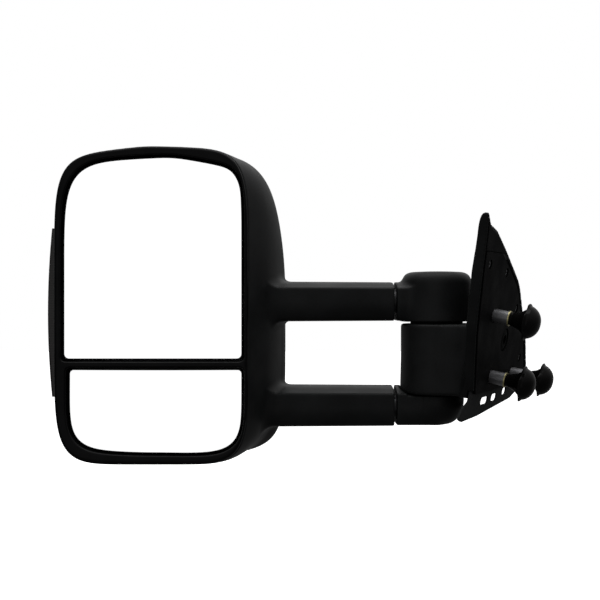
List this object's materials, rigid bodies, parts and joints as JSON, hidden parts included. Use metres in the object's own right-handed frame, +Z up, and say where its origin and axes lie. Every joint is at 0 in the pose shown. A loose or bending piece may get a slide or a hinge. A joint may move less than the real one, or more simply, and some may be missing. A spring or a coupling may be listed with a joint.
{
  "type": "extendable towing mirror",
  "caption": "Left-hand door mirror with a telescoping, folding twin arm, two tilting glasses in one bezel, a side indicator and a three-stud sail base.",
  "frame": {"origin": "on the face that seats against the door, level with the fold axis", "axes": "+X inboard towards the car (the long way of the mirror), +Y towards the front of the car, +Z up and along the fold axis"},
  "size_m": [0.5066, 0.2362, 0.3065],
  "materials": {
    "moulded_black": "fine grained satin moulding",
    "gloss_black": "polished moulding",
    "knob_black": "polished moulding with fluted edge",
    "mirror_glass": "first-surface silvered glass",
    "smoked_lens": "smoked acrylic",
    "black_casting": "black powder coat on die casting",
    "gasket_rubber": "closed-cell rubber",
    "bare_steel": "turned steel",
    "yellow_zinc": "yellow zinc plate",
    "arm_tube": "drawn tube",
    "nylon": "natural nylon",
    "grey_moulding": "plain moulding",
    "circuit": "circuit board",
    "heater_film": "film heater"
  },
  "bodies": {
    "base": {"base_cover": "moulded_black", "base_bracket": "black_casting", "door_gasket": "gasket_rubber", "cover_screws": "bare_steel", "cable_grommet": "gasket_rubber", "pivot_tube": "bare_steel", "detent_ring_fixed": "bare_steel", "thrust_washer": "nylon", "spring_seat": "bare_steel", "pivot_circlip": "bare_steel", "pivot_nut": "yellow_zinc", "fold_spring": "bare_steel", "mounting_boss_1": "bare_steel", "mounting_boss_2": "bare_steel", "mounting_boss_3": "bare_steel", "mounting_stud_1": "yellow_zinc", "mounting_stud_2": "yellow_zinc", "mounting_stud_3": "yellow_zinc"},
    "arm": {"upper_knuckle": "moulded_black", "lower_knuckle": "moulded_black", "upper_pivot_bush": "nylon", "lower_pivot_bush": "nylon", "detent_ring_moving": "black_casting", "pivot_plug": "moulded_black", "upper_arm_tube": "arm_tube", "lower_arm_tube": "arm_tube", "upper_tube_stop": "bare_steel", "lower_tube_stop": "bare_steel", "tube_set_screws": "bare_steel"},
    "head": {"head_shell": "moulded_black", "bezel_frame": "gloss_black", "indicator_lens": "smoked_lens", "indicator_housing": "grey_moulding", "led_board": "circuit", "support_frame": "grey_moulding", "frame_screws": "bare_steel", "upper_mouth_bush": "moulded_black", "lower_mouth_bush": "moulded_black", "upper_saddle_bush": "nylon", "lower_saddle_bush": "nylon", "actuator_body": "grey_moulding", "actuator_cover": "grey_moulding", "tilt_motor_vertical": "bare_steel", "tilt_motor_horizontal": "bare_steel", "lower_pivot_post": "grey_moulding"},
    "upper_cross": {"upper_gimbal": "nylon"},
    "upper_mirror": {"upper_backing_plate": "gloss_black", "heater_pad": "heater_film", "upper_glass": "mirror_glass"},
    "jack_v": {"jack_vertical": "nylon"},
    "jack_h": {"jack_horizontal": "nylon"},
    "lower_cross": {"lower_gimbal": "nylon"},
    "lower_mirror": {"lower_backing_plate": "gloss_black", "lower_glass": "mirror_glass"},
    "washer_1": {"knob_washer_1": "yellow_zinc"},
    "knob_1": {"hand_knob_1": "knob_black"},
    "washer_2": {"knob_washer_2": "yellow_zinc"},
    "knob_2": {"hand_knob_2": "knob_black"},
    "washer_3": {"knob_washer_3": "yellow_zinc"},
    "knob_3": {"hand_knob_3": "knob_black"}
  },
  "joints": [
    {"name": "arm_fold", "type": "hinge", "parent": "base", "child": "arm", "pos_m": [-0.0627, 0, 0], "axis": [0, 0, 1], "range_deg": [-60, 60]},
    {"name": "telescope", "type": "slide", "parent": "arm", "child": "head", "axis": [-1, 0, 0], "range_m": [0, 0.1]},
    {"name": "upper_glass_pitch", "type": "hinge", "parent": "head", "child": "upper_cross", "pos_m": [-0.338, -0.042, 0.0929], "axis": [1, 0, 0], "range_deg": [-6, 6]},
    {"name": "upper_glass_yaw", "type": "hinge", "parent": "upper_cross", "child": "upper_mirror", "pos_m": [-0.338, -0.042, 0.0929], "axis": [0, 0, 1], "range_deg": [-6, 6]},
    {"name": "jack_vertical_travel", "type": "slide", "parent": "head", "child": "jack_v", "axis": [0, 1, 0], "range_m": [-0.003, 0.003]},
    {"name": "jack_horizontal_travel", "type": "slide", "parent": "head", "child": "jack_h", "axis": [0, 1, 0], "range_m": [-0.003, 0.003]},
    {"name": "lower_glass_pitch", "type": "hinge", "parent": "head", "child": "lower_cross", "pos_m": [-0.3352, -0.042, -0.0509], "axis": [1, 0, 0], "range_deg": [-6, 6]},
    {"name": "lower_glass_yaw", "type": "hinge", "parent": "lower_cross", "child": "lower_mirror", "pos_m": [-0.3352, -0.042, -0.0509], "axis": [0, 0, 1], "range_deg": [-6, 6]},
    {"name": "knob_1_unscrew", "type": "slide", "parent": "base", "child": "washer_1", "axis": [0.8746, -0.4456, -0.1908], "range_m": [0, 0.035]},
    {"name": "knob_1_spin", "type": "hinge", "parent": "washer_1", "child": "knob_1", "pos_m": [0.01306, -0.05604, 0.03354], "axis": [0.8746, -0.4456, -0.1908], "continuous": true},
    {"name": "knob_2_unscrew", "type": "slide", "parent": "base", "child": "washer_2", "axis": [0.8746, -0.4456, -0.1908], "range_m": [0, 0.035]},
    {"name": "knob_2_spin", "type": "hinge", "parent": "washer_2", "child": "knob_2", "pos_m": [0.01569, -0.02483, -0.02732], "axis": [0.8746, -0.4456, -0.1908], "continuous": true},
    {"name": "knob_3_unscrew", "type": "slide", "parent": "base", "child": "washer_3", "axis": [0.8746, -0.4456, -0.1908], "range_m": [0, 0.035]},
    {"name": "knob_3_spin", "type": "hinge", "parent": "washer_3", "child": "knob_3", "pos_m": [0.04994, 0.04302, -0.02879], "axis": [0.8746, -0.4456, -0.1908], "continuous": true}
  ],
  "couplings": [
    {"joint": "jack_vertical_travel", "follows": "upper_glass_pitch", "m_per_rad": 0.028},
    {"joint": "jack_horizontal_travel", "follows": "upper_glass_yaw", "m_per_rad": 0.028}
  ]
}
